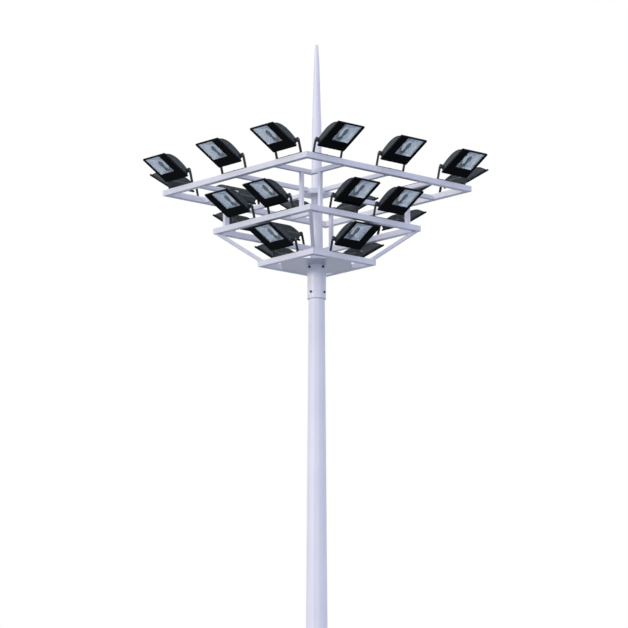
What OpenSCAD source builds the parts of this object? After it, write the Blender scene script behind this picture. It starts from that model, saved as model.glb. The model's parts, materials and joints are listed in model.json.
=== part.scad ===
// High mast floodlight tower: a twelve-sided tapered mast that carries three square lamp
// frames, one above the other, each wider than the one below, with floodlights on all sides.
// Origin: centre of the foot flange's underside, on the ground. +Z is up, the front is -Y.

/* [Mast] */
// Height of the underside of the bottom lamp frame above the ground
head_z = 11865; // [9000:5:15000]
// Width of the mast across its flats at the ground
mast_base_w = 390; // [320:1:480]
// Width of the mast across its flats at its top end
mast_top_w = 214; // [175:1:260]
// Wall of the lower mast section
lower_wall = 6; // [4:0.5:12]
// Wall of the upper mast section
upper_wall = 5; // [3:0.5:10]
// Height of the lower end of the upper section, at the slip joint
slip_z = 5600; // [4000:10:7000]
// Length over which the upper section slips over the lower one
slip_lap = 480; // [300:10:700]

/* [Foot] */
// Diameter of the foot flange
flange_d = 620; // [580:5:760]
// Thickness of the foot flange
flange_t = 25; // [16:1:40]
// Diameter of the circle of anchor bolt holes
anchor_circle_d = 520; // [510:5:680]
// Diameter of each anchor bolt hole
anchor_hole_d = 28; // [22:1:36]
// Number of anchor bolt holes, with a gusset between each two
anchor_count = 8; // [6:1:12]
// Height of the gussets above the flange
gusset_h = 220; // [120:5:350]
// Thickness of the gussets
gusset_t = 12; // [8:1:20]
// Diameter of the cable hole in the flange
cable_hole_d = 76; // [50:1:90]
// Distance of the cable hole's centre from the mast's axis
cable_hole_off = 90; // [70:1:110]

/* [Access door] */
// Height of the access door's centre above the ground
access_z = 900; // [700:10:1500]
// Width of the rim round the access opening
access_w = 130; // [110:1:150]
// Height of the rim round the access opening
access_h = 560; // [350:5:700]
// Thickness of the rim's bars
access_rim_t = 12; // [8:1:16]
// Thickness of the access door
access_door_t = 5; // [3:0.5:8]
// Distance that the rim stands out of the mast's wall at its centre
access_proud = 14; // [10:1:25]

/* [Head sleeve] */
// Gap between the mast's corners and the sleeve's bore, at the sleeve's lower end
sleeve_gap = 5; // [2:0.5:12]
// Wall of the sleeve
sleeve_wall = 8; // [6:0.5:10]
// Length of the sleeve below the head plate
sleeve_h = 463; // [300:1:600]
// Thread diameter of the clamping bolts
clamp_bolt_d = 20; // [16:1:24]
// Height of the lower ring of clamping bolts above the sleeve's lower end
clamp_low = 85; // [60:1:120]
// Depth of the upper ring of clamping bolts below the sleeve's upper end
clamp_high = 30; // [25:1:60]
// Turn of the lower ring of clamping bolts about the mast
clamp_turn = 12; // [0:1:30]

/* [Lamp frames] */
// Side of the bottom frame
bottom_side = 1145; // [960:5:1380]
// Side of the middle frame
middle_side = 2014; // [1700:2:2400]
// Side of the top frame
top_side = 3000; // [2500:10:3600]
// Clear height between the bottom frame and the middle frame
middle_gap = 386; // [380:1:480]
// Clear height between the middle frame and the top frame
top_gap = 467; // [420:1:580]
// Side of the square tube of the three frames
beam = 80; // [66:1:96]
// Side of the square tube of the cross beams and the corner beams
brace = 60; // [50:1:72]
// Side of the square tube of the posts
post = 50; // [40:1:60]
// Side of the square tube of the corner struts
strut = 50; // [40:1:60]
// Distance of the corner beams' centre lines from the mast's centre planes
corner_beam_off = 790; // [720:5:820]

/* [Head] */
// Thickness of the head plate inside the bottom frame
plate_t = 12; // [8:1:20]
// Distance that the head plate lies above the bottom frame's underside
plate_recess = 4; // [0:1:20]
// Length that is cut from each side of the head plate at its corners
plate_corner = 305; // [250:5:360]
// Width of the head column across its flats at the head plate
column_base_w = 172; // [140:1:200]
// Width of the head column across its flats at its top
column_top_w = 126; // [110:1:135]
// Wall of the head column
column_wall = 5; // [3:0.5:8]
// Height of the head column's top above the top frame's underside
column_over = 1052; // [850:10:1300]
// Diameter of the hub drum that ties the cross beams to the column
hub_d = 380; // [300:5:460]
// Height of the hub drum
hub_h = 75; // [60:1:90]
// Distance that the hub drum reaches below the top frame's underside
hub_drop = 28; // [10:1:40]

/* [Spire] */
// Diameter of the spire at its foot
spire_base_d = 122; // [100:1:135]
// Diameter of the spire where its slender tip begins
spire_neck_d = 74; // [60:1:90]
// Diameter of the spire's rounded end
spire_tip_d = 44; // [30:1:55]
// Length of the spire's lower cone
spire_cone_h = 790; // [600:10:950]
// Length of the spire's slender tip
spire_tip_h = 280; // [220:5:340]

/* [Floodlights] */
// Distance between neighbouring floodlights on the top frame
top_pitch = 1124; // [900:2:1340]
// Distance between the two floodlights on each side of the middle frame
middle_pitch = 790; // [700:5:940]
// Width of a floodlight's front door
lamp_w = 466; // [440:1:560]
// Height of a floodlight's front door
lamp_h = 490; // [440:1:570]
// Thickness of the front door
lamp_door_t = 22; // [16:1:30]
// Width of the housing behind the door
housing_w = 410; // [380:1:430]
// Depth of a floodlight from the door's face to the crown of its back
lamp_depth = 131; // [122:1:150]
// Radius of the housing's back above its crown
back_high_r = 360; // [300:5:450]
// Radius of the housing's back below its crown
back_low_r = 1000; // [700:10:1400]
// Height of the crown of the back above the door's lower edge
crown_up = 230; // [190:5:250]
// Distance that the housing's ends lie inside the door's edges
housing_inset = 10; // [6:1:20]
// Width of the glass
glass_w = 288; // [250:1:330]
// Height of the glass
glass_h = 318; // [260:1:350]
// Margin between the glass and the door's upper edge
glass_top_margin = 18; // [12:1:50]
// Margin between the glass and the nearer side edge of the door
glass_side_margin = 45; // [30:1:60]
// Depth of the glass recess in the door
glass_recess = 8; // [6:0.5:12]
// Thickness of the glass
glass_t = 5; // [4:0.5:6]
// Angle that the floodlights aim below the horizontal
aim_down = 59.5; // [45:0.5:70]

/* [Yokes] */
// Height of the tilt pivot above the frame's top
pivot_rise = 175; // [160:1:210]
// Distance of the tilt pivot outwards from the beam's centre line
pivot_out = 66; // [40:1:75]
// Distance of the yoke's foot outwards from the beam's centre line
foot_out = 20; // [0:1:25]
// Distance of the tilt pivot behind the door's face
pivot_back = 98; // [80:1:105]
// Distance of the tilt pivot above the door's lower edge
pivot_up = 28; // [25:1:60]
// Width of a yoke's flat bar
yoke_bar_w = 40; // [30:1:50]
// Thickness of a yoke's flat bar
yoke_bar_t = 6; // [5:0.5:10]
// Gap between the door's side edges and the yoke's legs
yoke_gap = 5; // [5:0.5:12]
// Diameter of the pivot bolt
pivot_bolt_d = 16; // [12:1:20]
// Diameter of the boss on each side of the housing
boss_d = 40; // [34:1:46]

/* [Hidden] */
$fn = 72;
SIDES = ["front", "right", "back", "left"];

steel = "#e4e4f0";
black = "#1b2028";
pane = "#a9b9c9";

seat = 0.3;                                   // running gap between pieces that fit together
facets = 12;                                  // sides of the mast
corner_ratio = 1 / cos(180 / facets);         // width across corners over width across flats
middle_z = head_z + beam + middle_gap;
top_z = middle_z + beam + top_gap;
plate_z = head_z + plate_recess;
column_z = plate_z + plate_t;
column_top_z = top_z + column_over;
sleeve_z = plate_z - sleeve_h;
sleeve_bore = mast_w(sleeve_z) * corner_ratio + 2 * sleeve_gap;
sleeve_d = sleeve_bore + 2 * sleeve_wall;
bolt_head = 0.65;                             // height of a hexagon head over its thread diameter
hex_w = 1.8;                                  // width across corners over the thread diameter
yoke_inner = lamp_w / 2 + yoke_gap;           // inner face of a yoke's leg
yoke_outer = yoke_inner + yoke_bar_t;

// Places of the floodlights along one side of each frame
top_spots = [-top_pitch, 0, top_pitch];
middle_spots = [-middle_pitch / 2, middle_pitch / 2];
// Side of the door that the glass lies towards: 1 is the right as seen from outside
top_glass = [-1, 1, -1, 1];
middle_glass = [1, 1, 1, 1];
bottom_glass = [1, -1, 1, -1];

// Width of the mast across its flats at a height above the ground
function mast_w(z) = mast_base_w + (mast_top_w - mast_base_w) * z / plate_z;

// A tapered solid with twelve flats between two heights
module twelve_sided(w_low, z_low, w_high, z_high) {
    translate([0, 0, z_low])
        cylinder(
            h = z_high - z_low,
            d1 = w_low * corner_ratio,
            d2 = w_high * corner_ratio,
            $fn = facets
        );
}

// The mast's tapered form between two heights, with its faces moved inwards
module mast_form(z_low, z_high, inwards) {
    twelve_sided(mast_w(z_low) - 2 * inwards, z_low, mast_w(z_high) - 2 * inwards, z_high);
}

module mast_shell(z_low, z_high, inwards, wall) {
    difference() {
        mast_form(z_low, z_high, inwards);
        mast_form(z_low - 1, z_high + 1, inwards + wall);
    }
}

// Distance from the upper section's outer face in to the lower section's outer face
lower_inwards = upper_wall + seat;

module around(count, start = 0) {
    for (i = [0:count - 1])
        rotate([0, 0, start + i * 360 / count])
            children();
}

module base_flange() {
    color(steel)
        difference() {
            cylinder(d = flange_d, h = flange_t);
            around(anchor_count, 180 / anchor_count)
                translate([anchor_circle_d / 2, 0, -1])
                    cylinder(d = anchor_hole_d, h = flange_t + 2);
            translate([0, cable_hole_off, -1])
                cylinder(d = cable_hole_d, h = flange_t + 2);
        }
}

gusset_toe = 20;                              // height of a gusset's outer end
gusset_head = 25;                             // length of a gusset's upper end beside the mast
gusset_edge = 12;                             // distance of a gusset's toe from the flange's rim

module base_gussets() {
    r_mast = mast_w(flange_t) / 2 * corner_ratio;
    r_toe = flange_d / 2 - gusset_edge;
    color(steel)
        difference() {
            around(anchor_count)
                translate([0, gusset_t / 2, 0])
                    rotate([90, 0, 0])
                        linear_extrude(gusset_t)
                            polygon([
                                [r_mast - 4 * gusset_t, flange_t],
                                [r_toe, flange_t],
                                [r_toe, flange_t + gusset_toe],
                                [r_mast + gusset_head, flange_t + gusset_h],
                                [r_mast - 4 * gusset_t, flange_t + gusset_h]
                            ]);
            mast_form(0, flange_t + gusset_h + 1, lower_inwards);
        }
}

module mast_lower() {
    color(steel)
        difference() {
            mast_shell(flange_t, slip_z + slip_lap, lower_inwards, lower_wall);
            access_place() access_block(access_w, access_h);
        }
}

module mast_upper() {
    color(steel)
        mast_shell(slip_z, plate_z, 0, upper_wall);
}

access_depth = 46;                            // depth of the rim's bars
access_face = mast_w(access_z) / 2 - lower_inwards + access_proud;

// Turns towards the flat that faces the front right corner
module access_place() {
    rotate([0, 0, -45])
        translate([access_face, 0, access_z])
            children();
}

module access_block(w, h) {
    translate([-access_depth, -w / 2, -h / 2])
        cube([access_depth, w, h]);
}

module access_rim() {
    color(steel)
        access_place()
            difference() {
                access_block(access_w, access_h);
                translate([1, 0, 0])
                    scale([1.2, 1, 1])
                        access_block(access_w - 2 * access_rim_t, access_h - 2 * access_rim_t);
            }
}

access_edge = 4;                              // part of the rim's width that the door leaves bare

module access_door() {
    color(steel)
        access_place()
            translate([access_door_t, 0, 0])
                intersection() {
                    access_block(access_w - 2 * access_edge, access_h - 2 * access_edge);
                    translate([-access_door_t, -access_w, -access_h])
                        cube([access_door_t, 2 * access_w, 2 * access_h]);
                }
}

// Places of the clamping bolts, each along +X from the mast's axis
module clamp_places() {
    translate([0, 0, plate_z - clamp_high])
        around(4) children();
    translate([0, 0, sleeve_z + clamp_low])
        around(4, clamp_turn) children();
}

module head_sleeve() {
    color(steel)
        difference() {
            translate([0, 0, sleeve_z])
                cylinder(d = sleeve_d, h = sleeve_h);
            translate([0, 0, sleeve_z - 1])
                cylinder(d = sleeve_bore, h = sleeve_h + 2);
            clamp_places()
                rotate([0, 90, 0])
                    cylinder(d = clamp_bolt_d + 2 * seat, h = sleeve_d);
        }
}

module sleeve_bolts() {
    color(black)
        difference() {
            clamp_places()
                rotate([0, 90, 0]) {
                    cylinder(d = clamp_bolt_d, h = sleeve_d / 2 + clamp_bolt_d / 2);
                    translate([0, 0, sleeve_d / 2 + seat])
                        cylinder(d = clamp_bolt_d * hex_w, h = clamp_bolt_d * bolt_head, $fn = 6);
                }
            mast_form(sleeve_z - sleeve_d, plate_z + sleeve_d, -seat);
        }
}

plate_side = bottom_side - 2 * beam;

module head_plate() {
    half = plate_side / 2;
    cut = half - plate_corner;
    color(steel)
        translate([0, 0, plate_z])
            linear_extrude(plate_t)
                polygon([
                    [-half, -cut], [-cut, -half], [cut, -half], [half, -cut],
                    [half, cut], [cut, half], [-cut, half], [-half, cut]
                ]);
}

module head_column() {
    color(steel)
        difference() {
            twelve_sided(column_base_w, column_z, column_top_w, column_top_z);
            twelve_sided(
                column_w(column_z - 1) - 2 * column_wall, column_z - 1,
                column_w(column_top_z + 1) - 2 * column_wall, column_top_z + 1
            );
        }
}

module spire() {
    color(steel)
        translate([0, 0, column_top_z]) {
            cylinder(d1 = spire_base_d, d2 = spire_neck_d, h = spire_cone_h);
            translate([0, 0, spire_cone_h])
                cylinder(d1 = spire_neck_d, d2 = spire_tip_d, h = spire_tip_h - spire_tip_d / 2);
            translate([0, 0, spire_cone_h + spire_tip_h - spire_tip_d / 2])
                sphere(d = spire_tip_d);
        }
}

// A square ring of tube with its underside at a height
module square_frame(side, z) {
    color(steel)
        translate([0, 0, z])
            difference() {
                translate([-side / 2, -side / 2, 0])
                    cube([side, side, beam]);
                translate([beam - side / 2, beam - side / 2, -1])
                    cube([side - 2 * beam, side - 2 * beam, beam + 2]);
            }
}

module bottom_frame() square_frame(bottom_side, head_z);

module middle_frame() square_frame(middle_side, middle_z);

module top_frame() square_frame(top_side, top_z);

// Two beams that close off each corner of the top frame
module corner_beams() {
    inner = corner_beam_off - brace / 2;
    reach = top_side / 2 - beam - inner;
    color(steel)
        around(4)
            translate([inner, inner, top_z]) {
                cube([reach, brace, brace]);
                cube([brace, reach, brace]);
            }
}

module cross_beams() {
    color(steel)
        difference() {
            around(4)
                translate([0, -brace / 2, top_z])
                    cube([top_side / 2 - beam, brace, brace]);
            translate([0, 0, top_z - 1])
                cylinder(d = hub_d, h = brace + 2);
        }
}

// Width of the head column across its flats at a height
function column_w(z) =
    column_base_w
    + (column_top_w - column_base_w) * (z - column_z) / (column_top_z - column_z);

module top_hub() {
    hub_z = top_z - hub_drop;
    color(steel)
        translate([0, 0, hub_z])
            difference() {
                cylinder(d = hub_d, h = hub_h);
                translate([0, 0, -1])
                    cylinder(d = column_w(hub_z) * corner_ratio + 2 * seat, h = hub_h + 2);
            }
}

// Posts between the middle frame and the corner beams of the top frame
module upper_posts() {
    along = middle_side / 2 - beam / 2;
    color(steel)
        around(4)
            for (side = [-1, 1])
                translate([along - post / 2, side * corner_beam_off - post / 2, middle_z + beam])
                    cube([post, post, top_gap]);
}

// Struts between the corners of the bottom and middle frames, cut level at both ends
module corner_struts() {
    low = (bottom_side - beam) / sqrt(2);
    high = (middle_side - beam - strut) / sqrt(2) + strut / 4;
    slope = atan2(middle_gap, high - low);
    color(steel)
        intersection() {
            around(4, 45)
                translate([low, 0, head_z + beam])
                    rotate([0, -slope, 0])
                        translate([-2 * strut, -strut / 2, -strut / 2])
                            cube([norm([middle_gap, high - low]) + 4 * strut, strut, strut]);
            translate([-middle_side, -middle_side, head_z + beam])
                cube([2 * middle_side, 2 * middle_side, middle_gap]);
        }
}

// Turns a piece built for the front onto one of the four sides
module on_side(index) {
    rotate([0, 0, 90 * index]) children();
}

// A place on the top of a frame's front beam
module on_beam(side_length, z, along) {
    translate([along, beam / 2 - side_length / 2, z + beam]) children();
}

// Flat bar bent to a U: a foot on the beam and two legs that lean outwards to the pivots
module yoke() {
    reach = pivot_out - foot_out;
    lean = atan2(reach, pivot_rise);
    leg_h = norm([reach, pivot_rise]);
    translate([-yoke_outer, -foot_out - yoke_bar_w / 2, 0])
        cube([2 * yoke_outer, yoke_bar_w, yoke_bar_t]);
    for (end = [-yoke_outer, yoke_inner])
        translate([end, -foot_out, 0])
            rotate([90, 0, 90])
                linear_extrude(yoke_bar_t)
                    difference() {
                        intersection() {
                            rotate(lean)
                                union() {
                                    translate([-yoke_bar_w / 2, -yoke_bar_w])
                                        square([yoke_bar_w, leg_h + yoke_bar_w]);
                                    translate([0, leg_h])
                                        circle(d = yoke_bar_w);
                                }
                            translate([-leg_h, 0])
                                square([2 * leg_h, 2 * leg_h]);
                        }
                        translate([-reach, pivot_rise])
                            circle(d = pivot_bolt_d + 2 * seat);
                    }
}

module lamp_yokes() {
    color(black)
        for (index = [0:3])
            on_side(index) {
                for (along = top_spots)
                    on_beam(top_side, top_z, along) yoke();
                for (along = middle_spots)
                    on_beam(middle_side, middle_z, along) yoke();
                on_beam(bottom_side, head_z, 0) yoke();
            }
}

// Part of the housing's curved back, from its crown to one end
module back_arc(radius, z_low, z_high) {
    intersection() {
        translate([lamp_door_t / 2, z_low])
            square([lamp_depth, z_high - z_low]);
        translate([lamp_depth - radius, crown_up])
            circle(r = radius);
    }
}

// The housing's outline from the side: depth behind the door's face, height above its edge
module housing_outline() {
    back_arc(back_low_r, housing_inset, crown_up);
    back_arc(back_high_r, crown_up, lamp_h - housing_inset);
}

// Place of the glass in the door's face, with the margin on the side that glass_to names
module glass_place(glass_to) {
    translate([
        glass_to * (lamp_w / 2 - glass_side_margin - glass_w / 2),
        0,
        lamp_h - glass_top_margin - glass_h / 2
    ])
        children();
}

module lamp_body(glass_to) {
    color(black)
        difference() {
            union() {
                translate([-lamp_w / 2, 0, 0])
                    cube([lamp_w, lamp_door_t, lamp_h]);
                rotate([90, 0, 90])
                    linear_extrude(housing_w, center = true)
                        housing_outline();
            }
            glass_place(glass_to)
                translate([-glass_w / 2, -1, -glass_h / 2])
                    cube([glass_w, glass_recess + 1, glass_h]);
        }
}

module lamp_glass(glass_to) {
    color(pane)
        glass_place(glass_to)
            translate([seat - glass_w / 2, glass_recess - glass_t - seat, seat - glass_h / 2])
                cube([glass_w - 2 * seat, glass_t, glass_h - 2 * seat]);
}

// Boss, bolt and bolt head on both sides of the housing, along the tilt axis
module lamp_pivots() {
    color(black)
        for (flip = [0, 1])
            mirror([flip, 0, 0])
                rotate([0, 90, 0]) {
                    translate([0, 0, housing_w / 2 - 5])
                        cylinder(d = boss_d, h = yoke_inner - seat - housing_w / 2 + 5);
                    translate([0, 0, housing_w / 2])
                        cylinder(d = pivot_bolt_d, h = yoke_outer - housing_w / 2 + pivot_bolt_d / 2);
                    translate([0, 0, yoke_outer + seat])
                        cylinder(d = pivot_bolt_d * hex_w, h = pivot_bolt_d * bolt_head, $fn = 6);
                }
}

// A floodlight on the front side of a frame, aimed outwards and down
module lamp(side_length, z, along, glass_to) {
    on_beam(side_length, z, along)
        translate([0, -pivot_out, pivot_rise])
            rotate([aim_down, 0, 0]) {
                translate([0, -pivot_back, -pivot_up]) {
                    lamp_body(glass_to);
                    lamp_glass(glass_to);
                }
                lamp_pivots();
            }
}

base_flange();
base_gussets();
mast_lower();
mast_upper();
access_rim();
access_door();
head_sleeve();
sleeve_bolts();
head_plate();
head_column();
spire();
bottom_frame();
middle_frame();
top_frame();
corner_beams();
cross_beams();
top_hub();
upper_posts();
corner_struts();
lamp_yokes();
for (index = [0:3]) {
    for (i = [0:2])
        on_side(index) lamp(top_side, top_z, top_spots[i], top_glass[index]);
    for (i = [0:1])
        on_side(index) lamp(middle_side, middle_z, middle_spots[i], middle_glass[index]);
    on_side(index) lamp(bottom_side, head_z, 0, bottom_glass[index]);
}
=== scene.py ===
"""High mast floodlight tower: the finished look around the CAD frame, in metres."""
import json
import math

import bmesh
import bpy
from mathutils import Matrix, Vector


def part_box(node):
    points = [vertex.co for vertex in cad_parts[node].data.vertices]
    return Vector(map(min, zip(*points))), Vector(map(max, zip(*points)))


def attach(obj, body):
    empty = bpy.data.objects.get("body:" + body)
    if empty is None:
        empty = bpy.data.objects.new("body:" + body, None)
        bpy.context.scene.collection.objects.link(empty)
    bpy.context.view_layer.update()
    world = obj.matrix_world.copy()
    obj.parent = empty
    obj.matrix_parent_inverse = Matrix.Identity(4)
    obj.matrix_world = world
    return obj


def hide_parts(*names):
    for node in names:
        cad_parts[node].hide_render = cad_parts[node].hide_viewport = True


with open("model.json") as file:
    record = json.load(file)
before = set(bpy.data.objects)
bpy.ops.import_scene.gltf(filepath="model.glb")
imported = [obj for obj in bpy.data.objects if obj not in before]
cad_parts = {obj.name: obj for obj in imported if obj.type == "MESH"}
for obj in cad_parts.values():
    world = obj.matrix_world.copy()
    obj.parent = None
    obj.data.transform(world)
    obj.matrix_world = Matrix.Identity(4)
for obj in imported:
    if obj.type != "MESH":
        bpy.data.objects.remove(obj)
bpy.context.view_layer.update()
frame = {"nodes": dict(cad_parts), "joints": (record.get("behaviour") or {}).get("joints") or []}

UP = Vector((0, 0, 1))
TOWER = "tower"

# ---------------------------------------------------------------- sizes, in metres
BEAM_ROUND = 0.007          # rounding of the frame tubes' long edges
CAP_T = 0.003               # end cap of a frame tube
DOOR_T = 0.022              # floodlight door
DOOR_RIM = 0.016            # metal rim round the door's glass sheet
PIVOT_BACK = 0.098          # pivot behind the door's face
PIVOT_UP = 0.028            # pivot above the door's lower edge
PIVOT_RISE = 0.175          # pivot above the frame's top
PIVOT_OUT = 0.066           # pivot outwards from the beam's centre line
FOOT_OUT = 0.020            # yoke's foot outwards from the beam's centre line
AIM_DOWN = math.radians(59.5)
DOOR_W, DOOR_H = 0.466, 0.490
WINDOW_W, WINDOW_H = 0.288, 0.318
WINDOW_SIDE_MARGIN, WINDOW_TOP_MARGIN = 0.045, 0.018
HOUSING_W = 0.410
HOUSING_INSET = 0.010
CROWN_DEPTH = 0.131         # door's face to the ribs' crown
CROWN_UP = 0.230
BACK_HIGH_R, BACK_LOW_R = 0.360, 1.000
RIB_H = 0.009
SHELL_T = 0.004
YOKE_IN = 0.238             # inner face of a yoke's leg
YOKE_T = 0.006
BOSS_R = 0.020
DISC_R = 0.033              # toothed disc that locks the tilt
BOLT_D = 0.016
YOKE_SCREW_OFF = 0.12       # screws in the yoke's foot, from its middle bolt
CORNER_OFF = 0.790          # corner beams' centre line from the tower's axis
POST_HALF = 0.025           # half the upper posts' width
PLATE_CUT = 0.305           # cut corners of the head plate
COLUMN_R_BELOW_HUB, COLUMN_R_ABOVE_HUB = 0.083, 0.082
GUSSET_HALF = 0.006

# Side of the door that the window lies towards, seen from outside: 1 is right
WINDOW_SIDE = {
    "top": {"front": -1, "right": 1, "back": -1, "left": 1},
    "middle": {"front": 1, "right": 1, "back": 1, "left": 1},
    "bottom": {"front": 1, "right": -1, "back": 1, "left": -1},
}


# ---------------------------------------------------------------- materials
class Shader:
    """A node material with a Principled shader, built with short calls."""

    def __init__(self, name):
        self.material = bpy.data.materials.new(name)
        self.material.use_nodes = True
        self.tree = self.material.node_tree
        self.surface = self.tree.nodes["Principled BSDF"]
        self.place = self.tree.nodes.new("ShaderNodeTexCoord").outputs["Object"]

    def set(self, **values):
        for name, value in values.items():
            socket = self.surface.inputs[name.replace("_", " ")]
            if isinstance(socket.default_value, float):
                socket.default_value = value
            else:
                socket.default_value = (*value, 1.0) if len(value) == 3 else value

    def node(self, kind, inputs=(), **settings):
        made = self.tree.nodes.new(kind)
        for key, value in settings.items():
            setattr(made, key, value)
        for key, value in dict(inputs).items():
            if isinstance(value, bpy.types.NodeSocket):
                self.tree.links.new(value, made.inputs[key])
            else:
                made.inputs[key].default_value = value
        return made

    def noise(self, scale, detail=3.0, stretch=(1, 1, 1), roughness=0.5):
        place = self.node("ShaderNodeMapping", {"Vector": self.place, "Scale": stretch})
        made = self.node(
            "ShaderNodeTexNoise",
            {"Vector": place.outputs[0], "Scale": scale, "Detail": detail, "Roughness": roughness},
        )
        return made.outputs["Fac"]

    def ramp(self, value, low, high, low_colour=(0, 0, 0), high_colour=(1, 1, 1)):
        made = self.node("ShaderNodeValToRGB", {"Fac": value})
        first, last = made.color_ramp.elements
        first.position, last.position = low, high
        first.color, last.color = (*low_colour, 1), (*high_colour, 1)
        return made.outputs["Color"]

    def blend(self, share, first, second, way="MIX"):
        made = self.node("ShaderNodeMix", {0: share}, data_type="RGBA", blend_type=way)
        for socket, value in ((made.inputs[6], first), (made.inputs[7], second)):
            if isinstance(value, bpy.types.NodeSocket):
                self.tree.links.new(value, socket)
            else:
                socket.default_value = (*value, 1)
        return made.outputs[2]

    def math(self, way, first, second):
        made = self.node("ShaderNodeMath", {0: first, 1: second}, operation=way)
        return made.outputs[0]

    def bump(self, height, strength, distance, under=None):
        inputs = {"Height": height, "Strength": strength, "Distance": distance}
        if under is not None:
            inputs["Normal"] = under
        return self.node("ShaderNodeBump", inputs).outputs[0]

    def link(self, value, name):
        self.tree.links.new(value, self.surface.inputs[name])


def painted_steel():
    """White paint with a lavender tint over steel: faint runs of dirt and orange peel."""
    s = Shader("painted_steel")
    broad = s.noise(1.3, 4.0)
    colour = s.ramp(broad, 0.3, 0.7, (0.80, 0.80, 0.87), (0.87, 0.87, 0.925))
    runs = s.ramp(s.noise(9.0, 4.0, (1, 1, 0.05)), 0.52, 0.80)
    colour = s.blend(s.math("MULTIPLY", runs, 0.22), colour, (0.56, 0.57, 0.60))
    specks = s.ramp(s.noise(120.0, 2.0), 0.70, 0.78)
    colour = s.blend(s.math("MULTIPLY", specks, 0.10), colour, (0.50, 0.49, 0.48))
    s.link(colour, "Base Color")
    rough = s.node(
        "ShaderNodeMapRange", {"Value": s.noise(14.0, 4.0), "To Min": 0.34, "To Max": 0.52}
    )
    s.link(rough.outputs[0], "Roughness")
    waves = s.bump(s.noise(3.5, 2.0), 0.12, 0.004)
    s.link(s.bump(s.noise(330.0, 2.0), 0.10, 0.0006, waves), "Normal")
    s.set(Specular_IOR_Level=0.45, Coat_Weight=0.12, Coat_Roughness=0.2)
    return s.material


def black_paint(name, shade, sheen_low, sheen_high, shine=0.35):
    """Dark powder coat: fine grain, dull dust and rubbed edges."""
    s = Shader(name)
    base = s.ramp(s.noise(6.0, 4.0), 0.3, 0.75, [c * 0.8 for c in shade], [c * 1.3 for c in shade])
    dust = s.ramp(s.noise(22.0, 5.0, (1, 1, 0.5)), 0.55, 0.85)
    base = s.blend(s.math("MULTIPLY", dust, 0.06), base, (0.16, 0.18, 0.19))
    edge = s.node("ShaderNodeNewGeometry").outputs["Pointiness"]
    worn = s.math("MULTIPLY", s.ramp(edge, 0.53, 0.60), s.ramp(s.noise(90.0, 3.0), 0.45, 0.6))
    base = s.blend(s.math("MULTIPLY", worn, 0.30), base, (0.20, 0.21, 0.23))
    s.link(base, "Base Color")
    rough = s.node(
        "ShaderNodeMapRange",
        {"Value": s.noise(40.0, 4.0), "To Min": sheen_low, "To Max": sheen_high},
    )
    s.link(rough.outputs[0], "Roughness")
    s.link(s.bump(s.noise(650.0, 2.0), 0.22, 0.0005), "Normal")
    s.set(Specular_IOR_Level=shine)
    return s.material


def enamel():
    """Black enamel printed on the back of the door's glass sheet."""
    s = Shader("black_enamel")
    s.link(
        s.ramp(s.noise(12.0, 4.0), 0.35, 0.8, (0.0006, 0.001, 0.002), (0.002, 0.003, 0.005)),
        "Base Color",
    )
    dust = s.node(
        "ShaderNodeMapRange", {"Value": s.noise(30.0, 5.0), "To Min": 0.06, "To Max": 0.24}
    )
    s.link(dust.outputs[0], "Roughness")
    s.set(Specular_IOR_Level=0.01)
    return s.material


def clear_glass():
    """Toughened glass over the reflector, a little dusty."""
    s = Shader("lamp_glass")
    s.link(
        s.ramp(s.noise(9.0, 4.0), 0.3, 0.8, (0.62, 0.72, 0.82), (0.78, 0.84, 0.90)), "Base Color"
    )
    rough = s.node(
        "ShaderNodeMapRange", {"Value": s.noise(25.0, 5.0), "To Min": 0.03, "To Max": 0.16}
    )
    s.link(rough.outputs[0], "Roughness")
    s.set(Alpha=0.16, Specular_IOR_Level=0.6)
    s.material.surface_render_method = "BLENDED"
    return s.material


def reflector():
    """Hammered bright aluminium."""
    s = Shader("reflector")
    s.link(
        s.ramp(
            s.noise(14.0, 3.0, (1, 1, 0.22)), 0.32, 0.66, (0.44, 0.50, 0.60), (0.86, 0.90, 0.95)
        ),
        "Base Color",
    )
    cells = s.node("ShaderNodeTexVoronoi", {"Vector": s.place, "Scale": 38.0}).outputs["Distance"]
    s.link(s.bump(cells, 0.12, 0.003), "Normal")
    rough = s.node(
        "ShaderNodeMapRange", {"Value": s.noise(20.0, 3.0), "To Min": 0.22, "To Max": 0.36}
    )
    s.link(rough.outputs[0], "Roughness")
    s.set(Metallic=0.92)
    return s.material


def bulb_glass():
    """Frosted outer bulb of the discharge lamp, darkened by use."""
    s = Shader("bulb")
    s.link(
        s.ramp(s.noise(18.0, 3.0, (1, 1, 0.4)), 0.3, 0.7, (0.08, 0.10, 0.13), (0.19, 0.23, 0.29)),
        "Base Color",
    )
    rough = s.node(
        "ShaderNodeMapRange", {"Value": s.noise(30.0, 2.0), "To Min": 0.12, "To Max": 0.28}
    )
    s.link(rough.outputs[0], "Roughness")
    return s.material


def zinc():
    """Dull galvanized bolts."""
    s = Shader("zinc")
    cells = s.node("ShaderNodeTexVoronoi", {"Vector": s.place, "Scale": 160.0}).outputs["Distance"]
    s.link(s.ramp(cells, 0.1, 0.9, (0.20, 0.21, 0.22), (0.34, 0.35, 0.37)), "Base Color")
    rough = s.node(
        "ShaderNodeMapRange", {"Value": s.noise(200.0, 3.0), "To Min": 0.38, "To Max": 0.58}
    )
    s.link(rough.outputs[0], "Roughness")
    s.set(Metallic=0.8)
    return s.material


STEEL = painted_steel()
BLACK = black_paint("black_steel", (0.012, 0.014, 0.019), 0.40, 0.58)
# The housing and the door share one paint on the real floodlight. The housing's copy is lighter, as
# painted light for its lit sides. The door's copy is near black, as painted shade on the door's
# face.
HOUSING_PAINTED_LIGHT = black_paint("lamp_housing", (0.038, 0.049, 0.048), 0.42, 0.60)
DOOR_PAINTED_SHADE = black_paint("lamp_door", (0.002, 0.003, 0.005), 0.40, 0.55, 0.012)
ENAMEL = enamel()
GLASS = clear_glass()
REFLECTOR = reflector()
BULB = bulb_glass()
ZINC = zinc()


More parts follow.
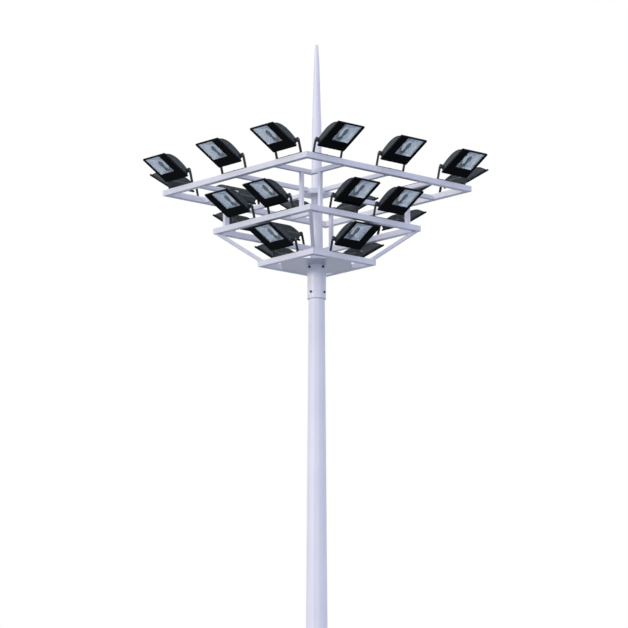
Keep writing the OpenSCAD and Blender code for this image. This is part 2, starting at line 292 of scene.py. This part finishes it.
# ---------------------------------------------------------------- mesh helpers
def piece(name, mesh, materials, body, place=None):
    """A new object of the finished model, riding on a body."""
    made = bpy.data.objects.new(name, mesh)
    bpy.context.scene.collection.objects.link(made)
    if not mesh.materials:
        for material in materials:
            mesh.materials.append(material)
    if place is not None:
        made.matrix_world = place
    made.modifiers.new("even_normals", "WEIGHTED_NORMAL").keep_sharp = True
    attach(made, body)
    return made


def to_mesh(bm, name, smooth_angle=32):
    bmesh.ops.recalc_face_normals(bm, faces=bm.faces)
    mesh = bpy.data.meshes.new(name)
    bm.to_mesh(mesh)
    bm.free()
    mesh.shade_smooth()
    mesh.set_sharp_from_angle(angle=math.radians(smooth_angle))
    return mesh


def bevel(bm, edges, width, segments=2):
    """Rounds edges, and returns the new faces."""
    made = bmesh.ops.bevel(
        bm, geom=list(edges), offset=width, segments=segments, profile=0.5,
        affect="EDGES", clamp_overlap=True,
    )
    return made["faces"]


def sharp_edges(bm, angle=28):
    return [
        e for e in bm.edges
        if len(e.link_faces) == 2 and e.calc_face_angle(0) > math.radians(angle)
    ]


def from_node(node):
    """The CAD node's mesh with its split points joined and its flat faces whole."""
    bm = bmesh.new()
    bm.from_mesh(frame["nodes"][node].data)
    bmesh.ops.remove_doubles(bm, verts=bm.verts, dist=2e-5)
    bmesh.ops.dissolve_limit(
        bm, angle_limit=math.radians(0.6), verts=bm.verts, edges=bm.edges,
        delimit={"NORMAL"},
    )
    return bm


def softened(node, width, material, segments=2, pick=sharp_edges):
    """A copy of a CAD node with the rounded edges of the real piece."""
    bm = from_node(node)
    bevel(bm, pick(bm), width, segments)
    made = piece(node + "_finished", to_mesh(bm, node), [material], TOWER)
    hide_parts(node)


def add_box(bm, low, high, width=0.0, segments=2, place=None):
    """A box from one corner to the other, with rounded edges."""
    low, high = Vector(low), Vector(high)
    made = bmesh.ops.create_cube(bm, size=1.0)
    verts = made["verts"]
    for v in verts:
        v.co = low + (v.co + Vector((0.5, 0.5, 0.5))) * (high - low)
    faces = {f for v in verts for f in v.link_faces}
    if width:
        edges = {e for v in verts for e in v.link_edges}
        rounded = bevel(bm, edges, width, segments)
        verts = {v for f in faces | set(rounded) if f.is_valid for v in f.verts}
    if place is not None:
        bmesh.ops.transform(bm, matrix=place, verts=list(verts))


def add_turned(bm, profile, place, sides=24, material=0):
    """A solid turned about Z from (radius, height) points, the ends closed where radius > 0."""
    rings = []
    for radius, height in profile:
        if radius <= 1e-6:
            rings.append([bm.verts.new(place @ Vector((0, 0, height)))])
            continue
        rings.append([
            bm.verts.new(place @ Vector((
                radius * math.cos(2 * math.pi * i / sides),
                radius * math.sin(2 * math.pi * i / sides),
                height,
            )))
            for i in range(sides)
        ])
    faces = []
    for low, high in zip(rings, rings[1:]):
        for i in range(sides):
            j = (i + 1) % sides
            if len(low) == 1:
                faces.append(bm.faces.new((low[0], high[i], high[j])))
            elif len(high) == 1:
                faces.append(bm.faces.new((low[i], low[j], high[0])))
            else:
                faces.append(bm.faces.new((low[i], low[j], high[j], high[i])))
    if len(rings[0]) > 1:
        faces.append(bm.faces.new(list(reversed(rings[0]))))
    if len(rings[-1]) > 1:
        faces.append(bm.faces.new(rings[-1]))
    for f in faces:
        f.material_index = material


def add_bolt(bm, place, thread, material=0):
    """A hexagon bolt head on its washer, along +Z from the seat."""
    head_r, head_h = 0.92 * thread, 0.64 * thread
    base = 0.16 * thread
    add_turned(
        bm,
        [(1.05 * thread, 0), (1.1 * thread, 0.03 * thread), (1.1 * thread, base * 0.8),
         (1.05 * thread, base)],
        place, 24, material,
    )
    rim = [(head_r, base), (head_r, base + 0.82 * head_h), (0.80 * head_r, base + head_h)]
    add_turned(bm, rim, place, 6, material)
    add_turned(
        bm,
        [(0.5 * thread, base + head_h * 0.9), (0.5 * thread, base + head_h * 1.12),
         (0.42 * thread, base + head_h * 1.2)],
        place, 16, material,
    )


def rounded_rect(cx, cz, w, h, r, y, steps=4):
    """Points of a rounded rectangle in the XZ plane at a depth y, counter-clockwise."""
    r = min(r, w / 2 - 1e-4, h / 2 - 1e-4)
    points = []
    for corner, (sx, sz) in enumerate(((1, 1), (-1, 1), (-1, -1), (1, -1))):
        for i in range(steps + 1):
            a = math.pi / 2 * (corner + i / steps)
            points.append(Vector((
                cx + sx * (w / 2 - r) + r * math.cos(a),
                y,
                cz + sz * (h / 2 - r) + r * math.sin(a),
            )))
    return points


def add_loft(bm, loops, closed=False, cap_first=False, cap_last=False, material=0):
    """Skins a list of loops that have the same number of points."""
    rings = [[bm.verts.new(p) for p in loop] for loop in loops]
    faces = []
    pairs = list(zip(rings, rings[1:])) + ([(rings[-1], rings[0])] if closed else [])
    for low, high in pairs:
        n = len(low)
        for i in range(n):
            j = (i + 1) % n
            faces.append(bm.faces.new((low[i], low[j], high[j], high[i])))
    if cap_first:
        faces.append(bm.faces.new(list(reversed(rings[0]))))
    if cap_last:
        faces.append(bm.faces.new(rings[-1]))
    for f in faces:
        f.material_index = material


def add_prism(bm, outline, axis_low, axis_high, width=0.0):
    """A solid with an outline in the YZ plane, from one X to another."""
    low = [bm.verts.new((axis_low, y, z)) for y, z in outline]
    high = [bm.verts.new((axis_high, y, z)) for y, z in outline]
    n = len(outline)
    faces = [bm.faces.new((low[i], low[(i + 1) % n], high[(i + 1) % n], high[i])) for i in range(n)]
    faces += [bm.faces.new(list(reversed(low))), bm.faces.new(high)]
    if width:
        rim = [
            e for e in {e for f in faces for e in f.edges}
            if len(e.link_faces) == 2 and e.calc_face_angle(0) > math.radians(30)
        ]
        bevel(bm, rim, width)


def add_bead(bm, points, radius, closed=True, ripple=0.007):
    """A weld bead along a line of points: a thin tube whose thickness ripples."""
    points = [Vector(p) for p in points]
    if closed:
        points.append(points[0])
    stations = []
    for a, b in zip(points, points[1:]):
        count = max(1, round((b - a).length / (ripple / 2)))
        stations += [(a.lerp(b, i / count), (b - a).normalized()) for i in range(count)]
    if not closed:
        stations.append((points[-1], (points[-1] - points[-2]).normalized()))
    rings = []
    for k, (centre, along) in enumerate(stations):
        before = stations[k - 1][1] if (closed or k) else along
        tangent = (along + before).normalized() if (along + before).length > 1e-6 else along
        side = tangent.orthogonal().normalized()
        if abs(tangent.z) < 0.9:
            side = tangent.cross(UP).normalized()
        up = side.cross(tangent)
        r = radius * (1.0 + (0.16 if k % 2 else -0.12) + 0.05 * math.sin(k * 1.7))
        rings.append([
            bm.verts.new(centre + (side * math.cos(a) + up * math.sin(a)) * r)
            for a in (2 * math.pi * i / 6 for i in range(6))
        ])
    pairs = list(zip(rings, rings[1:])) + ([(rings[-1], rings[0])] if closed else [])
    for low, high in pairs:
        # start from the nearest point, so that the tube doesn't twist where the line turns
        turn = min(range(6), key=lambda t: (high[t].co - low[0].co).length)
        for i in range(6):
            j = (i + 1) % 6
            bm.faces.new((low[i], low[j], high[(j + turn) % 6], high[(i + turn) % 6]))
    if not closed:
        bm.faces.new(list(reversed(rings[0])))
        bm.faces.new(rings[-1])


def turned_place(index):
    """Turns a piece built for the front onto side 0 to 3."""
    return Matrix.Rotation(math.pi / 2 * index, 4, "Z")


# ---------------------------------------------------------------- lamp frames
def frame_beams(node):
    """A square frame of four tubes that butt in a ring, each with one end cap showing."""
    low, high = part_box(node)
    half, deep = high.x, high.z - low.z
    bm = bmesh.new()
    for index in range(4):
        turn = turned_place(index)
        add_box(
            bm, (-half + deep + 0.0004, -half, low.z),
            (half - CAP_T - 0.0006, -half + deep, high.z), BEAM_ROUND, 3, place=turn,
        )
        add_box(
            bm, (half - CAP_T, -half + 0.0012, low.z + 0.0012),
            (half - 0.0006, -half + deep - 0.0012, high.z - 0.0012), 0.0012, 2, place=turn,
        )
    made = piece(node + "_finished", to_mesh(bm, node), [STEEL], TOWER)
    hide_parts(node)


def frame_welds(bm, node):
    """Beads round each butt joint of a frame."""
    low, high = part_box(node)
    half, deep = high.x, high.z - low.z
    inner = half - deep
    for index in range(4):
        turn = turned_place(index)
        x = -half + deep
        edge = BEAM_ROUND * 0.3
        loop = [
            (x, -half + edge, low.z + edge), (x, -inner, low.z + edge),
            (x, -inner, high.z - edge), (x, -half + edge, high.z - edge),
        ]
        add_bead(bm, [turn @ Vector(p) for p in loop], 0.0022)


def square_loop(cx, cy, z, half):
    """Corners of a level square."""
    return [(cx - half, cy - half, z), (cx + half, cy - half, z),
            (cx + half, cy + half, z), (cx - half, cy + half, z)]


def ring_loop(radius, z, count=48):
    """Points of a level circle."""
    return [
        (radius * math.cos(2 * math.pi * i / count), radius * math.sin(2 * math.pi * i / count), z)
        for i in range(count)
    ]


def head_welds():
    """Every weld bead of the head."""
    bm = bmesh.new()
    for node in ("bottom_frame", "middle_frame", "top_frame"):
        frame_welds(bm, node)
    frame_low, frame_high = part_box("top_frame")
    inner = frame_high.x - (frame_high.z - frame_low.z)
    brace_low, brace_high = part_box("cross_beams")
    brace = (brace_high.z - brace_low.z) / 2
    middle = brace_low.z + brace
    hub_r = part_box("top_hub")[1].x
    corner_low, corner_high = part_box("corner_beams")
    post_low, post_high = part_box("upper_posts")
    post_along = post_high.x - POST_HALF
    for index in range(4):
        turn = turned_place(index)

        def bead(points, radius=0.0035, closed=True):
            add_bead(bm, [turn @ Vector(p) for p in points], radius, closed)

        for x in (inner, hub_r):
            bead([(x, y, z) for y, z in (
                (-brace, middle - brace), (brace, middle - brace),
                (brace, middle + brace), (-brace, middle + brace))])
        for side in (-1, 1):
            y = side * CORNER_OFF
            bead([(inner, y + a, middle + b) for a, b in (
                (-brace, -brace), (brace, -brace), (brace, brace), (-brace, brace))])
            for z in (post_low.z, post_high.z):
                bead(square_loop(post_along, y, z, POST_HALF))
        corner = CORNER_OFF + brace
        for z in (corner_low.z, corner_high.z):
            bead([(CORNER_OFF - brace, CORNER_OFF - brace, z), (corner, corner, z)], 0.002, False)
    hub_low, hub_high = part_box("top_hub")
    for z, r in ((hub_low.z, COLUMN_R_BELOW_HUB), (hub_high.z, COLUMN_R_ABOVE_HUB)):
        add_bead(bm, ring_loop(r, z, 24), 0.004)
    plate_low, plate_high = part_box("head_plate")
    sleeve_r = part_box("head_sleeve")[1].x
    add_bead(bm, ring_loop(sleeve_r, plate_low.z), 0.004)
    column_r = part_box("head_column")[1].x
    add_bead(bm, ring_loop(column_r, plate_high.z, 12), 0.005)
    half = plate_high.x
    cut = half - PLATE_CUT
    for index in range(4):
        turn = turned_place(index)
        for z in (plate_low.z, plate_high.z):
            line = [(-cut, -half, z), (cut, -half, z)]
            add_bead(bm, [turn @ Vector(p) for p in line], 0.0035, False)
    strut_welds(bm)
    piece("head_weld_beads", to_mesh(bm, "head_weld_beads", 60), [STEEL], TOWER)


def strut_welds(bm):
    """Beads round the level ends of the corner struts, read from the struts' own corners."""
    low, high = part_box("corner_struts")
    mesh = frame["nodes"]["corner_struts"].data
    for index in range(4):
        turn = turned_place(index)
        back = turn.inverted()
        for z in (low.z, high.z):
            ends = {}
            for v in mesh.vertices:
                p = back @ v.co
                if p.x > 0 and p.y > 0 and abs(v.co.z - z) < 1e-4:
                    ends[(round(p.x, 4), round(p.y, 4))] = p
            corners = list(ends.values())
            centre = sum(corners, Vector()) / len(corners)
            corners.sort(key=lambda p: math.atan2(p.y - centre.y, p.x - centre.x))
            add_bead(bm, [turn @ p for p in corners], 0.0035)


# ---------------------------------------------------------------- mast
def long_edges(bm):
    return [
        e for e in bm.edges
        if len(e.link_faces) == 2 and e.calc_face_angle(0) > math.radians(20)
        and abs((e.verts[0].co - e.verts[1].co).normalized().z) > 0.9
        and e.calc_length() > 1.0
    ]


def mast_sections():
    softened("mast_upper", 0.016, STEEL, 4, long_edges)
    softened("mast_lower", 0.020, STEEL, 4, long_edges)
    softened("head_column", 0.010, STEEL, 3, long_edges)


def steel_parts():
    for node, width in (
        ("base_flange", 0.0025), ("base_gussets", 0.0015), ("access_rim", 0.002),
        ("access_door", 0.002), ("head_plate", 0.0015), ("top_hub", 0.003),
        ("corner_beams", 0.006), ("cross_beams", 0.006), ("upper_posts", 0.005),
        ("corner_struts", 0.005), ("head_sleeve", 0.0015), ("spire", 0.002),
    ):
        softened(node, width, STEEL)
    softened("sleeve_bolts", 0.0015, BLACK)
    softened("lamp_yokes", 0.0015, BLACK)


# ---------------------------------------------------------------- floodlights
def back_depth(z, inwards=0.0):
    """Depth of the housing's curved back behind the door's face at a height."""
    radius = (BACK_HIGH_R if z > CROWN_UP else BACK_LOW_R) - inwards
    crown = CROWN_DEPTH - inwards
    return crown - radius + math.sqrt(radius ** 2 - (z - CROWN_UP) ** 2)


def back_line(low, high, inwards, steps=26):
    heights = [low + (high - low) * i / steps for i in range(steps + 1)]
    return [(back_depth(z, inwards), z) for z in heights]


def lamp_body_mesh(side):
    """Housing, ribs, door and fittings of a floodlight. Materials: coat lightened as painted light
    for the lit sides, enamel, zinc, door paint darkened to near black as painted shade.
    """
    bm = bmesh.new()
    half = HOUSING_W / 2
    low, high = HOUSING_INSET, DOOR_H - HOUSING_INSET
    front = DOOR_T + 0.0005
    outer = back_line(low, high, RIB_H)
    inner = back_line(low + SHELL_T, high - SHELL_T, RIB_H + SHELL_T)
    shell = [(front, low)] + outer + [(front, high), (front, high - SHELL_T)]
    shell += inner[::-1] + [(front, low + SHELL_T)]
    add_prism(bm, shell, -half + 0.002, half - 0.002)
    for x in (-half, half - SHELL_T):
        add_prism(bm, [(front, low)] + outer + [(front, high)], x, x + SHELL_T, 0.0012)
    # ribs over the back
    ribs, steps = 15, 22
    for i in range(ribs):
        x = -half + 0.012 + (HOUSING_W - 0.024) * i / (ribs - 1)
        heights = [low + 0.008 + (high - low - 0.030) * k / steps for k in range(steps + 1)]
        top = []
        for k, z in enumerate(heights):
            rise = min(1.0, k / 2.0, (steps - k) / 3.0)
            top.append((back_depth(z, RIB_H * (1 - rise)) - 0.0004, z))
        foot = [(back_depth(z, RIB_H + 0.002), z) for z in reversed(heights)]
        add_prism(bm, top + foot, x - 0.0018, x + 0.0018)
    # door: a metal rim round a sheet of glass
    cz = DOOR_H / 2
    inner_w, inner_h = DOOR_W - 2 * DOOR_RIM, DOOR_H - 2 * DOOR_RIM
    add_loft(bm, [
        rounded_rect(0, cz, DOOR_W, DOOR_H, 0.010, DOOR_T),
        rounded_rect(0, cz, DOOR_W, DOOR_H, 0.010, 0.004),
        rounded_rect(0, cz, DOOR_W - 0.003, DOOR_H - 0.003, 0.009, 0.001),
        rounded_rect(0, cz, DOOR_W - 0.008, DOOR_H - 0.008, 0.008, 0.0003),
        rounded_rect(0, cz, inner_w + 0.004, inner_h + 0.004, 0.007, 0.0003),
        rounded_rect(0, cz, inner_w, inner_h, 0.006, 0.002),
        rounded_rect(0, cz, inner_w, inner_h, 0.006, 0.0125),
        rounded_rect(0, cz, inner_w - 0.01, inner_h - 0.01, 0.006, DOOR_T),
    ], closed=True, material=3)
    # enamelled border of the glass sheet
    wx, wz = window_centre(side)
    add_loft(bm, [
        rounded_rect(0, cz, inner_w - 0.0006, inner_h - 0.0006, 0.006, 0.0028),
        rounded_rect(0, cz, inner_w - 0.0016, inner_h - 0.0016, 0.006, 0.0022),
        rounded_rect(wx, wz, WINDOW_W + 0.0006, WINDOW_H + 0.0006, 0.004, 0.0022),
        rounded_rect(wx, wz, WINDOW_W + 0.0006, WINDOW_H + 0.0006, 0.004, 0.0080),
        rounded_rect(0, cz, inner_w - 0.0006, inner_h - 0.0006, 0.006, 0.0080),
    ], closed=True, material=1)
    add_lamp_fittings(bm)
    return to_mesh(bm, "floodlight_body_%s" % ("right" if side > 0 else "left"))


def add_lamp_fittings(bm):
    """Bosses, pivot bolts, latches, hinges, side screws and the cable gland."""
    half = HOUSING_W / 2
    for end in (-1, 1):
        along = Matrix.Translation((0, PIVOT_BACK, PIVOT_UP)) @ Matrix.Rotation(
            end * math.pi / 2, 4, "Y"
        )
        add_turned(bm, [
            (BOSS_R + 0.006, half - 0.004), (BOSS_R + 0.006, half + 0.003),
            (BOSS_R, half + 0.007), (BOSS_R, half + 0.010), (DISC_R, half + 0.0115),
            (DISC_R, YOKE_IN - 0.0075), (BOSS_R, YOKE_IN - 0.006),
            (BOSS_R, YOKE_IN - 0.0022), (BOSS_R - 0.002, YOKE_IN - 0.0004),
        ], along, 36)
        add_turned(bm, [
            (BOLT_D / 2 - 0.0003, YOKE_IN - 0.001), (BOLT_D / 2 - 0.0003, YOKE_IN + YOKE_T + 0.001),
        ], along, 20, 2)
        seat = Matrix.Translation((0, 0, YOKE_IN + YOKE_T + 0.0003))
        add_bolt(bm, along @ seat, BOLT_D * 0.80, material=2)
        # recessed cover of the gear space, with its screws
        x = end * half
        cover = [(0.034, 0.070), (0.092, 0.070), (0.104, 0.16), (0.106, 0.23), (0.098, 0.30),
                 (0.074, 0.37), (0.046, 0.42), (0.034, 0.42)]
        add_prism(bm, cover, min(x, x + end * 0.003), max(x, x + end * 0.003), 0.0012)
        for y, z in ((0.042, 0.082), (0.085, 0.082), (0.091, 0.295), (0.042, 0.405)):
            screw = Matrix.Translation((x + end * 0.003, y, z)) @ Matrix.Rotation(
                end * math.pi / 2, 4, "Y"
            )
            add_turned(bm, [(0.0045, 0), (0.0045, 0.0015), (0.003, 0.0028)], screw, 14, 2)
        # latch over the door's upper edge, and hinge knuckles at its lower edge
        lx = end * (half + 0.003)
        for z in (0.36, 0.20):
            add_box(bm, (lx - 0.003, 0.026, z - 0.020), (lx + 0.003, 0.040, z + 0.020), 0.0015)
            add_box(bm, (lx - 0.005, 0.0235, z - 0.011), (lx + 0.005, 0.031, z + 0.011), 0.0012)
        hinge = Matrix.Translation((end * 0.14, 0.0305, 0.0085)) @ Matrix.Rotation(
            math.pi / 2, 4, "Y"
        )
        for part in (-1, 0, 1):
            add_turned(bm, [
                (0.0055, part * 0.021 - 0.0098), (0.007, part * 0.021 - 0.0088),
                (0.007, part * 0.021 + 0.0088), (0.0055, part * 0.021 + 0.0098),
            ], hinge, 18)
    gland = Matrix.Translation((0.0, back_depth(0.055, RIB_H) - 0.002, 0.055)) @ Matrix.Rotation(
        -math.pi / 2, 4, "X"
    )
    add_turned(bm, [(0.015, 0), (0.015, 0.006), (0.0135, 0.0075)], gland, 6)
    add_turned(bm, [(0.011, 0.007), (0.011, 0.012), (0.007, 0.0155), (0.0, 0.016)], gland, 20)


def window_centre(side):
    return (
        side * (DOOR_W / 2 - WINDOW_SIDE_MARGIN - WINDOW_W / 2),
        DOOR_H - WINDOW_TOP_MARGIN - WINDOW_H / 2,
    )


def lamp_optics_mesh(side):
    """Reflector tray behind the window, and the discharge lamp in it."""
    bm = bmesh.new()
    wx, wz = window_centre(side)
    # width and height over the window's, depth, corner radius, step towards the lower edge
    tray = [
        (1.00, 1.00, 0.0095, 0.006, 0.0), (0.985, 0.985, 0.018, 0.008, 0.0),
        (0.92, 0.90, 0.036, 0.016, 0.006), (0.78, 0.74, 0.058, 0.026, 0.020),
        (0.56, 0.56, 0.076, 0.026, 0.032), (0.30, 0.36, 0.084, 0.018, 0.036),
    ]
    inside = [
        rounded_rect(wx, wz - down, w * WINDOW_W, h * WINDOW_H, r, y) for w, h, y, r, down in tray
    ]
    outside = [
        rounded_rect(wx, wz - down, w * WINDOW_W + 0.003, h * WINDOW_H + 0.003, r, y + 0.0015)
        for w, h, y, r, down in reversed(tray)
    ]
    add_loft(bm, inside, cap_last=True)
    add_loft(bm, outside, cap_first=True)
    bulb = Matrix.Translation((wx, 0.036, wz - 0.075))
    add_turned(bm, [
        (0.0, -0.062), (0.017, -0.061), (0.019, -0.058), (0.019, -0.022), (0.016, -0.018),
    ], bulb, 24, 2)
    add_turned(bm, [
        (0.013, -0.020), (0.014, 0.0), (0.017, 0.020), (0.0215, 0.042), (0.0235, 0.066),
        (0.023, 0.090), (0.0195, 0.110), (0.0125, 0.124), (0.0, 0.130),
    ], bulb, 28, 1)
    return to_mesh(bm, "floodlight_optics_%s" % ("right" if side > 0 else "left"), 50)


def lamp_pane_mesh(side):
    """The clear window of the glass sheet."""
    bm = bmesh.new()
    wx, wz = window_centre(side)
    add_loft(bm, [
        rounded_rect(wx, wz, WINDOW_W - 0.0012, WINDOW_H - 0.0012, 0.0075, 0.0024),
        rounded_rect(wx, wz, WINDOW_W - 0.0002, WINDOW_H - 0.0002, 0.008, 0.0030),
        rounded_rect(wx, wz, WINDOW_W - 0.0002, WINDOW_H - 0.0002, 0.008, 0.0078),
    ], cap_first=True, cap_last=True)
    return to_mesh(bm, "floodlight_pane_%s" % ("right" if side > 0 else "left"))


def floodlights():
    """One floodlight for each tilt joint, placed from the joint's pivot and axis."""
    bodies = {s: lamp_body_mesh(s) for s in (-1, 1)}
    optics = {s: lamp_optics_mesh(s) for s in (-1, 1)}
    panes = {s: lamp_pane_mesh(s) for s in (-1, 1)}
    for joint in frame["joints"]:
        body = joint["child"]
        place_name = body.replace("floodlight_", "")
        tier, facing = place_name.split("_")[:2]
        side = WINDOW_SIDE[tier][facing]
        right = -Vector(joint["axis"])
        inward = UP.cross(right)
        turn = Matrix((right, inward, UP)).transposed().to_4x4()
        place = (
            Matrix.Translation(joint["pos_m"]) @ turn @ Matrix.Rotation(AIM_DOWN, 4, "X")
            @ Matrix.Translation((0, -PIVOT_BACK, -PIVOT_UP))
        )
        shell = piece(body + "_housing", bodies[side], [HOUSING_PAINTED_LIGHT, ENAMEL, ZINC, DOOR_PAINTED_SHADE], body,
                      place)
        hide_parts("lamp_" + place_name)
        piece(body + "_optics", optics[side], [REFLECTOR, BULB, HOUSING_PAINTED_LIGHT], body, place)
        piece(body + "_pane", panes[side], [GLASS], body, place)


def yoke_bolts():
    """Bolts that hold each yoke's foot to its beam."""
    bm = bmesh.new()
    for joint in frame["joints"]:
        right = -Vector(joint["axis"])
        outward = -UP.cross(right)
        reach = outward * (PIVOT_OUT - FOOT_OUT)
        foot = Vector(joint["pos_m"]) - reach - UP * (PIVOT_RISE - YOKE_T)
        add_bolt(bm, Matrix.Translation(foot), 0.012)
        for along in (-YOKE_SCREW_OFF, YOKE_SCREW_OFF):
            place = Matrix.Translation(foot + right * along)
            add_turned(
                bm, [(0.0085, 0), (0.0085, 0.001), (0.006, 0.0035), (0.0035, 0.0042)], place, 20
            )
    piece("yoke_foot_bolts", to_mesh(bm, "yoke_foot_bolts"), [ZINC], TOWER)


# ---------------------------------------------------------------- foot
def foot_details():
    """Beads at the foot, and the locks and hinges of the access door."""
    bm = bmesh.new()
    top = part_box("base_flange")[1].z
    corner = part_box("mast_lower")[1].x
    add_bead(bm, ring_loop(corner, top, 12), 0.006)
    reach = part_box("base_gussets")[1].x
    for index in range(8):
        turn = Matrix.Rotation(math.pi / 4 * index, 4, "Z")
        for side in (-1, 1):
            y = side * GUSSET_HALF
            line = [(corner + 0.004, y, top), (reach - 0.002, y, top)]
            add_bead(bm, [turn @ Vector(p) for p in line], 0.004, False)
    piece("foot_weld_beads", to_mesh(bm, "foot_weld_beads", 60), [STEEL], TOWER)

    bm = bmesh.new()
    door_low, door_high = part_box("access_door")
    middle = (door_low.z + door_high.z) / 2
    tall = door_high.z - door_low.z
    turn = Matrix.Rotation(-math.pi / 4, 4, "Z")
    reach = max(
        (turn.inverted() @ v.co).x for v in frame["nodes"]["access_door"].data.vertices
    )
    for z in (middle - tall / 2 + 0.06, middle + tall / 2 - 0.06):
        lock = turn @ Matrix.Translation((reach, 0, z)) @ Matrix.Rotation(math.pi / 2, 4, "Y")
        add_turned(bm, [(0.013, -0.001), (0.013, 0.003), (0.0115, 0.0045)], lock, 24)
        add_turned(bm, [(0.0055, 0.004), (0.0055, 0.008), (0.0045, 0.009)], lock, 3)
    for z in (middle - tall / 2 + 0.11, middle + tall / 2 - 0.11):
        hinge = turn @ Matrix.Translation((reach - 0.001, -0.058, z - 0.03))
        for part in range(3):
            add_turned(bm, [
                (0.0055, part * 0.0205), (0.0065, part * 0.0205 + 0.001),
                (0.0065, part * 0.0205 + 0.0185), (0.0055, part * 0.0205 + 0.0195),
            ], hinge, 18)
    piece("access_door_fittings", to_mesh(bm, "access_door_fittings"), [ZINC], TOWER)


# ---------------------------------------------------------------- stage
def stage():
    """Pale floor, white surroundings, and soft suns from the front and the right."""
    bm = bmesh.new()
    bmesh.ops.create_circle(bm, cap_ends=True, segments=96, radius=900)
    mesh = bpy.data.meshes.new("floor")
    bm.to_mesh(mesh)
    bm.free()
    floor = bpy.data.objects.new("floor", mesh)
    floor.location.z = -0.002
    bpy.context.scene.collection.objects.link(floor)
    s = Shader("floor")
    s.link(s.ramp(s.noise(0.4, 4.0), 0.3, 0.7, (0.80, 0.80, 0.81), (0.84, 0.84, 0.85)),
           "Base Color")
    s.set(Roughness=0.9)
    mesh.materials.append(s.material)
    floor.visible_diffuse = False
    floor.visible_glossy = False

    world = bpy.data.worlds.new("surroundings")
    bpy.context.scene.world = world
    world.use_nodes = True
    tree = world.node_tree
    tree.nodes.clear()
    coords = tree.nodes.new("ShaderNodeTexCoord")
    split = tree.nodes.new("ShaderNodeSeparateXYZ")
    tree.links.new(coords.outputs["Generated"], split.inputs[0])
    lift = tree.nodes.new("ShaderNodeMapRange")
    lift.inputs["From Min"].default_value = -1.0
    tree.links.new(split.outputs["Z"], lift.inputs["Value"])

    def gradient(stops):
        """A background whose colour changes from straight down to straight up."""
        made = tree.nodes.new("ShaderNodeValToRGB")
        tree.links.new(lift.outputs[0], made.inputs[0])
        first, last = made.color_ramp.elements
        first.position, first.color = 0.0, (*stops[0][1], 1)
        last.position, last.color = 1.0, (*stops[-1][1], 1)
        for position, colour in stops[1:-1]:
            made.color_ramp.elements.new(position).color = (*colour, 1)
        shade = tree.nodes.new("ShaderNodeBackground")
        tree.links.new(made.outputs[0], shade.inputs["Color"])
        return shade.outputs[0]

    light = gradient([
        (0.0, (0.030, 0.042, 0.075)), (0.20, (0.125, 0.155, 0.235)), (0.46, (0.66, 0.69, 0.85)),
        (0.56, (0.72, 0.74, 0.90)), (1.0, (0.76, 0.80, 1.0)),
    ])
    mirrored = gradient([
        (0.0, (0.84, 0.92, 1.0)), (0.30, (0.90, 0.96, 1.0)), (0.48, (0.80, 0.86, 0.94)),
        (0.60, (0.80, 0.86, 0.95)), (1.0, (0.85, 0.90, 1.0)),
    ])
    seen = tree.nodes.new("ShaderNodeBackground")
    seen.inputs["Color"].default_value = (1, 1, 1, 1)
    path = tree.nodes.new("ShaderNodeLightPath")
    result = light
    for ray, shade in (("Is Glossy Ray", mirrored), ("Is Camera Ray", seen.outputs[0])):
        mix = tree.nodes.new("ShaderNodeMixShader")
        tree.links.new(path.outputs[ray], mix.inputs[0])
        tree.links.new(result, mix.inputs[1])
        tree.links.new(shade, mix.inputs[2])
        result = mix.outputs[0]
    out = tree.nodes.new("ShaderNodeOutputWorld")
    tree.links.new(result, out.inputs[0])

    for name, azimuth, elevation, strength, size, colour in (
        ("key", -4, 15, 0.95, 14, (1.0, 0.93, 0.74)), ("fill", 70, 10, 0.30, 40, (0.8, 0.86, 1.0)),
    ):
        sun = bpy.data.lights.new(name, "SUN")
        sun.energy = strength
        sun.color = colour
        sun.angle = math.radians(size)
        lamp = bpy.data.objects.new(name, sun)
        a, e = math.radians(azimuth), math.radians(elevation)
        towards = Vector((math.sin(a) * math.cos(e), -math.cos(a) * math.cos(e), math.sin(e)))
        lamp.rotation_mode = "QUATERNION"
        lamp.rotation_quaternion = towards.to_track_quat("Z", "Y")
        bpy.context.scene.collection.objects.link(lamp)


def camera():
    """The photographer's place: far away on the ground, at the tower's front right corner."""
    azimuth, pitch = math.radians(48.549), math.radians(11.519)
    distance, eye = 48.366, 1.343
    data = bpy.data.cameras.new("camera")
    data.sensor_width = 36
    data.lens = 207.95
    data.shift_x = -0.0043
    data.clip_end = 4000
    data.dof.use_dof = False
    made = bpy.data.objects.new("camera", data)
    made.location = (distance * math.sin(azimuth), -distance * math.cos(azimuth), eye)
    made.rotation_euler = (math.pi / 2 + pitch, 0, azimuth)
    bpy.context.scene.collection.objects.link(made)
    bpy.context.scene.camera = made


def main():
    camera()
    stage()
    mast_sections()
    steel_parts()
    for node in ("bottom_frame", "middle_frame", "top_frame"):
        frame_beams(node)
    head_welds()
    floodlights()
    yoke_bolts()
    foot_details()
    bpy.context.scene.view_settings.view_transform = "Standard"


main()
